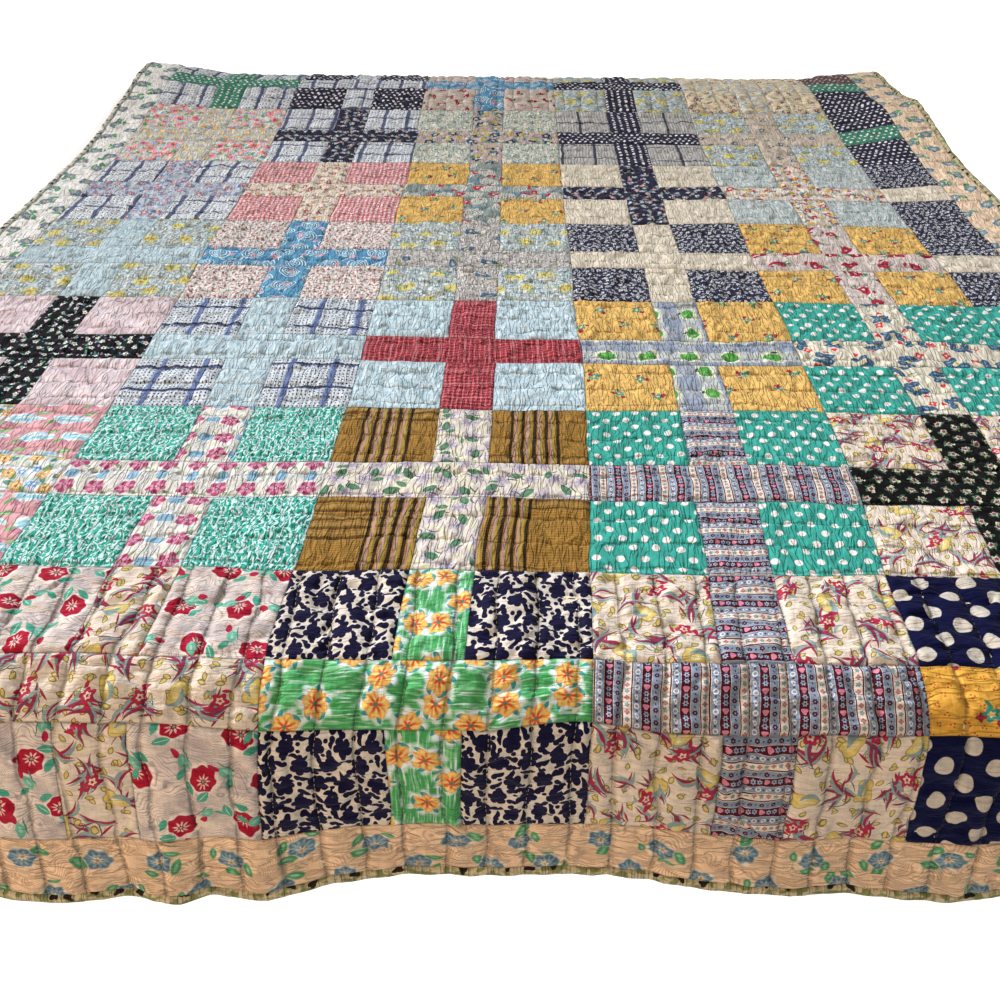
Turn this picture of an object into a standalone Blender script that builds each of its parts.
"""A patchwork quilt laid over a plain mattress, with its foot end falling over the mattress's edge.

Metres, +Z up, the foot of the bed at -Y. The origin is on the surface that the mattress stands on,
under the middle of the whole object.

Each piece of the quilt is cut flat, as a thin slab in the cloth's own coordinates: across, from the
quilt's centre line, and along, from its foot hem. The drape then lays the slab over the mattress.
"""
import bmesh
import bpy
import numpy as np

# Patchwork: each block is four square patches parted by a cross of bars.
PATCH = 0.117
BAR = 0.066
BLOCK = 2 * PATCH + BAR
WHOLE_BLOCKS_ACROSS = 5  # and one more patch, where the last column is cut short
BLOCKS_ALONG = 7
BORDER = 0.068
BINDING = 0.010
QUILT_THICK = 0.006
BINDING_THICK = 0.007
BINDING_ROUND = 0.002

CENTRE_WIDTH = WHOLE_BLOCKS_ACROSS * BLOCK + PATCH
CENTRE_LENGTH = BLOCKS_ALONG * BLOCK
QUILT_WIDTH = CENTRE_WIDTH + 2 * (BORDER + BINDING)
QUILT_LENGTH = CENTRE_LENGTH + 2 * (BORDER + BINDING)

# Mattress, in its own place: its foot face is at y 0 and its underside at z 0.
MATTRESS_WIDTH = 1.93
MATTRESS_LENGTH = 2.03
MATTRESS_HEIGHT = 0.25
EDGE_ROUND = 0.080
EDGE_SEGMENTS = 6
CORNER_ROUND = 0.090
CORNER_SEGMENTS = 5
BASE_ROUND = 0.030
BASE_SEGMENTS = 2

# Clearances
GAP = 0.0003  # between neighbouring pieces, and under the quilt where it lies flat
SLACK = 0.0015  # more than that, under the quilt where the mattress is raised
CURVE_LEAD = 0.008  # the cloth starts to fall this far past the start of the mattress's round edge

TOP_LEVEL = MATTRESS_HEIGHT + GAP + QUILT_THICK

# How steeply the quilt's centre line climbs, in degrees, along the cloth from the foot hem: up the
# drop, round the edge, flat, over the raised head of the mattress and down its far edge.
FLAT_FROM = 0.283
FALL = np.array([
    (0.000, 84), (0.078, 76), (0.138, 72), (0.168, 67), (0.195, 55), (0.228, 34), (0.261, 12),
    (FLAT_FROM, 0), (1.458, 0), (1.578, 1), (1.698, 2.5), (1.878, 5.5), (1.923, 10),
    (1.968, 8), (2.013, 0), (2.118, -9), (2.178, -18), (QUILT_LENGTH, -56),
], dtype=[("along", float), ("climb", float)])

# How far the foot hem swings out from the centre line's fall, and how high up the drop that reaches.
HEM_REACH = 0.20
HEM_WAVES = np.array([
    (-0.887, 0.008), (-0.720, -0.004), (-0.630, 0.010), (-0.540, 0.000), (-0.450, 0.011),
    (-0.390, 0.011), (-0.345, 0.004), (-0.300, 0.012), (-0.265, 0.003), (-0.220, 0.008),
    (-0.150, -0.010), (-0.090, -0.020), (0.000, -0.023), (0.120, -0.025), (0.210, -0.013),
    (0.300, -0.006), (0.340, -0.011), (0.390, -0.006), (0.440, -0.003), (0.540, -0.012),
    (0.660, 0.004), (0.780, -0.010), (0.887, 0.006),
], dtype=[("across", float), ("swing", float)])

# How far the cloth lies to the right of a straight line, along it from the foot hem.
DRIFT = np.array([
    (0.000, -0.020), (0.195, -0.020), (0.378, -0.0135), (0.530, -0.005), (0.678, 0.000),
    (1.000, 0.000), (QUILT_LENGTH, 0.000),
], dtype=[("along", float), ("shift", float)])

# How high each side edge curls up off the mattress, and how far in from the edge that reaches.
CURL_REACH = 0.24
CURL = np.array([
    (1.300, 0.000, 0.000), (1.400, 0.000, 0.009), (1.578, 0.000, 0.015), (1.698, 0.003, 0.024),
    (1.788, 0.009, 0.033), (1.850, 0.013, 0.036), (1.965, 0.014, 0.007), (2.040, 0.020, 0.003),
    (2.100, 0.027, 0.012), (2.170, 0.022, 0.020), (QUILT_LENGTH, 0.014, 0.010),
], dtype=[("along", float), ("left", float), ("right", float)])

# Low swells where the cloth isn't pulled flat.
SWELLS = np.array([
    (-0.610, 0.560, 0.0030, 0.17), (-0.330, 0.860, 0.0040, 0.20), (-0.050, 0.520, 0.0035, 0.18),
    (0.130, 1.020, 0.0030, 0.21), (0.300, 0.600, 0.0045, 0.20), (0.520, 0.900, 0.0035, 0.19),
    (0.700, 0.520, 0.0040, 0.18), (-0.560, 1.180, 0.0035, 0.20), (0.420, 1.300, 0.0040, 0.20),
    (-0.150, 1.340, 0.0030, 0.18),
], dtype=[("across", float), ("along", float), ("height", float), ("reach", float)])

# Where the flat slabs are creased, as stretches of the cloth with the pitch of their fold lines.
FOLD_PITCH_ACROSS = 0.056
FOLD_LINES = np.array([
    (0.000, 0.300, 0.0215), (0.300, 1.300, 0.100), (1.300, QUILT_LENGTH, 0.053),
], dtype=[("start", float), ("end", float), ("pitch", float)])
PROFILE_STEP = 0.001
NORMAL_STEP = 0.002


def ease(share):
    """Rises smoothly from 0 to 1."""
    share = np.clip(share, 0.0, 1.0)
    return share * share * (3 - 2 * share)


def smooth(places, values, at):
    """Reads a short table by a smooth curve through its rows."""
    slopes = np.gradient(values, places)
    row = np.clip(np.searchsorted(places, at) - 1, 0, len(places) - 2)
    step = places[row + 1] - places[row]
    t = np.clip((at - places[row]) / step, 0.0, 1.0)
    start = (1 + 2 * t) * (1 - t) ** 2 * values[row] + t * (1 - t) ** 2 * step * slopes[row]
    end = t * t * (3 - 2 * t) * values[row + 1] - t * t * (1 - t) * step * slopes[row + 1]
    return start + end


def centre_line():
    """The quilt's top face down its centre: distance along the cloth, y and z."""
    along = np.arange(-PROFILE_STEP, QUILT_LENGTH + 2 * PROFILE_STEP, PROFILE_STEP)
    climb = np.radians(np.interp(along, FALL["along"], FALL["climb"]))
    y = np.cumsum(np.cos(climb)) * PROFILE_STEP
    z = np.cumsum(np.sin(climb)) * PROFILE_STEP
    y += EDGE_ROUND - CURVE_LEAD - np.interp(FLAT_FROM, along, y)
    z += TOP_LEVEL - np.interp(FLAT_FROM, along, z)
    return along, y, z


LINE_ALONG, LINE_Y, LINE_Z = centre_line()


def swell_height(across, along):
    """How far the swells lift the cloth at each point."""
    lift = np.zeros_like(across)
    for swell in SWELLS:
        distance = np.hypot(across - swell["across"], along - swell["along"])
        lift += swell["height"] * ease(1 - distance / swell["reach"])
    return lift


def curl_height(across, along):
    """How far the curled side edges are off the mattress at each point."""
    from_left = 1 - (across + QUILT_WIDTH / 2) / CURL_REACH
    from_right = 1 - (QUILT_WIDTH / 2 - across) / CURL_REACH
    left = smooth(CURL["along"], CURL["left"], along) * ease(from_left)
    right = smooth(CURL["along"], CURL["right"], along) * ease(from_right)
    return np.maximum(left, 0.0) + np.maximum(right, 0.0)


def quilt_top(across, along):
    """Where each point of the cloth's top face lies."""
    swing = smooth(HEM_WAVES["across"], HEM_WAVES["swing"], across) * ease(1 - along / HEM_REACH)
    x = across + smooth(DRIFT["along"], DRIFT["shift"], along)
    y = np.interp(along, LINE_ALONG, LINE_Y) - swing
    z = np.interp(along, LINE_ALONG, LINE_Z)
    z += swell_height(across, along) + curl_height(across, along)
    return np.stack([x, y, z], axis=-1)


def drape(flat):
    """Lays flat points over the mattress: across, along, and height above the cloth's underside."""
    across, along, height = flat.T
    top = quilt_top(across, along)
    ahead = quilt_top(across, along + NORMAL_STEP) - quilt_top(across, along - NORMAL_STEP)
    aside = quilt_top(across + NORMAL_STEP, along) - quilt_top(across - NORMAL_STEP, along)
    normal = np.cross(aside, ahead)
    normal /= np.linalg.norm(normal, axis=1)[:, None]
    return top + normal * (height - QUILT_THICK)[:, None]


def crease(bm, axis, places):
    """Cuts a mesh across one axis at each place."""
    for place in places:
        point = [0.0, 0.0, 0.0]
        normal = [0.0, 0.0, 0.0]
        point[axis] = place
        normal[axis] = 1.0
        everything = bm.verts[:] + bm.edges[:] + bm.faces[:]
        bmesh.ops.bisect_plane(bm, geom=everything, plane_co=point, plane_no=normal)


def fold_lines():
    """The fold lines along the cloth, each with its distance from the foot hem."""
    lines = []
    for stretch in FOLD_LINES:
        count = round((stretch["end"] - stretch["start"]) / stretch["pitch"])
        lines.extend(np.linspace(stretch["start"], stretch["end"], count, endpoint=False))
    return lines[1:]


def between(places, low, high):
    """The places that lie well inside a piece's two edges."""
    return [place for place in places if low + GAP < place < high - GAP]


def make_material(name, colour, roughness):
    """A Principled material for one piece."""
    material = bpy.data.materials.new(name)
    material.use_nodes = True
    shader = material.node_tree.nodes["Principled BSDF"]
    shader.inputs["Base Color"].default_value = (*colour, 1.0)
    shader.inputs["Roughness"].default_value = roughness
    shader.inputs["Metallic"].default_value = 0.0
    material.diffuse_color = (*colour, 1.0)
    return material


def add_object(name, bm, colour, roughness):
    """Makes one named object of a finished mesh."""
    bmesh.ops.recalc_face_normals(bm, faces=bm.faces[:])
    mesh = bpy.data.meshes.new(name)
    bm.to_mesh(mesh)
    bm.free()
    mesh.materials.append(make_material(name + "_cloth", colour, roughness))
    made = bpy.data.objects.new(name, mesh)
    collection.objects.link(made)
    return made


def cut_slab(across, along, thick):
    """A flat slab of cloth between two pairs of edges, creased at the fold lines."""
    bm = bmesh.new()
    bmesh.ops.create_cube(bm, size=1.0)
    size = (across[1] - across[0] - GAP, along[1] - along[0] - GAP, thick)
    middle = ((across[0] + across[1]) / 2, (along[0] + along[1]) / 2, thick / 2)
    bmesh.ops.scale(bm, vec=size, verts=bm.verts[:])
    bmesh.ops.translate(bm, vec=middle, verts=bm.verts[:])
    return bm


def lay(bm, across, along):
    """Creases a flat slab at the fold lines and drapes it."""
    count = round(QUILT_WIDTH / FOLD_PITCH_ACROSS)
    columns = np.linspace(-QUILT_WIDTH / 2, QUILT_WIDTH / 2, count + 1)
    crease(bm, 0, between(columns, *across))
    crease(bm, 1, between(fold_lines(), *along))
    flat = np.array([vert.co for vert in bm.verts])
    for vert, place in zip(bm.verts, drape(flat)):
        vert.co = place


def make_panel(name, across, along, colour):
    """The pieced centre or a border strip: top, wadding and backing quilted into one thickness."""
    bm = cut_slab(across, along, QUILT_THICK)
    lay(bm, across, along)
    return add_object(name, bm, colour, 0.9)


def make_binding(name, across, along, outer_axis, outer_side):
    """A binding strip along one edge of the quilt, with its outer side rounded over."""
    bm = cut_slab(across, along, BINDING_THICK)
    outermost = (across, along)[outer_axis][outer_side]
    rim = [
        edge for edge in bm.edges
        if all(abs(vert.co[outer_axis] - outermost) < 2 * GAP for vert in edge.verts)
        and abs(edge.verts[0].co.z - edge.verts[1].co.z) < GAP
    ]
    bmesh.ops.bevel(bm, geom=rim, offset=BINDING_ROUND, segments=1, affect="EDGES")
    lay(bm, across, along)
    return add_object(name, bm, (0.23, 0.27, 0.14), 0.85)


def rounded_block():
    """The mattress before its head is raised: a block with round corners and edges."""
    bm = bmesh.new()
    bmesh.ops.create_cube(bm, size=1.0)
    bmesh.ops.scale(bm, vec=(MATTRESS_WIDTH, MATTRESS_LENGTH, MATTRESS_HEIGHT), verts=bm.verts[:])
    middle = (0.0, MATTRESS_LENGTH / 2, MATTRESS_HEIGHT / 2)
    bmesh.ops.translate(bm, vec=middle, verts=bm.verts[:])
    upright = [edge for edge in bm.edges if abs(edge.verts[0].co.z - edge.verts[1].co.z) > GAP]
    bmesh.ops.bevel(
        bm, geom=upright, offset=CORNER_ROUND, segments=CORNER_SEGMENTS, profile=0.5,
        affect="EDGES",
    )
    rims = (
        (0.0, BASE_ROUND, BASE_SEGMENTS),
        (MATTRESS_HEIGHT, EDGE_ROUND, EDGE_SEGMENTS),
    )
    for level, offset, segments in rims:
        rim = [
            edge for edge in bm.edges
            if all(abs(vert.co.z - level) < GAP for vert in edge.verts)
        ]
        bmesh.ops.bevel(
            bm, geom=rim, offset=offset, segments=segments, profile=0.5, affect="EDGES",
        )
    return bm


def make_mattress():
    """The plain mattress, whose head end stands a little higher than the rest."""
    bm = rounded_block()
    beside = np.interp(fold_lines(), LINE_ALONG, LINE_Y)
    crease(bm, 1, between(beside, MATTRESS_LENGTH / 2, MATTRESS_LENGTH - EDGE_ROUND))
    for vert in bm.verts:
        cloth = np.interp(vert.co.y, LINE_Y, LINE_Z)
        raised = max(0.0, cloth - TOP_LEVEL - SLACK)
        vert.co.z += raised * max(0.0, 2 * vert.co.z / MATTRESS_HEIGHT - 1)
    return add_object("mattress", bm, (0.83, 0.81, 0.77), 0.9)


def set_on_origin(objects):
    """Moves the finished meshes so that the middle of their base is at the origin."""
    places = [vert.co for made in objects for vert in made.data.vertices]
    low = np.min(places, axis=0)
    high = np.max(places, axis=0)
    for made in objects:
        for vert in made.data.vertices:
            vert.co.x -= (low[0] + high[0]) / 2
            vert.co.y -= (low[1] + high[1]) / 2
            vert.co.z -= low[2]


for old in list(bpy.data.objects):
    bpy.data.objects.remove(old)
collection = bpy.data.collections.new("patchwork_quilt_on_mattress")
bpy.context.scene.collection.children.link(collection)

# Seams across the quilt and along it, from the outside edge in.
SIDE = QUILT_WIDTH / 2
SIDE_SEAM = SIDE - BINDING
CENTRE_SIDE = CENTRE_WIDTH / 2
HEAD_SEAM = QUILT_LENGTH - BINDING
CENTRE_FOOT = BINDING + BORDER
CENTRE_HEAD = CENTRE_FOOT + CENTRE_LENGTH
PRINT = (0.70, 0.55, 0.42)
PATCHWORK = (0.55, 0.58, 0.56)

pieces = [
    make_mattress(),
    make_panel("pieced_centre", (-CENTRE_SIDE, CENTRE_SIDE), (CENTRE_FOOT, CENTRE_HEAD), PATCHWORK),
    make_panel("border_left", (-SIDE_SEAM, -CENTRE_SIDE), (CENTRE_FOOT, CENTRE_HEAD), PRINT),
    make_panel("border_right", (CENTRE_SIDE, SIDE_SEAM), (CENTRE_FOOT, CENTRE_HEAD), PRINT),
    make_panel("border_foot", (-SIDE_SEAM, SIDE_SEAM), (BINDING, CENTRE_FOOT), PRINT),
    make_panel("border_head", (-SIDE_SEAM, SIDE_SEAM), (CENTRE_HEAD, HEAD_SEAM), PRINT),
    make_binding("binding_left", (-SIDE, -SIDE_SEAM), (BINDING, HEAD_SEAM), 0, 0),
    make_binding("binding_right", (SIDE_SEAM, SIDE), (BINDING, HEAD_SEAM), 0, 1),
    make_binding("binding_foot", (-SIDE, SIDE), (0.0, BINDING), 1, 0),
    make_binding("binding_head", (-SIDE, SIDE), (HEAD_SEAM, QUILT_LENGTH), 1, 1),
]
set_on_origin(pieces)
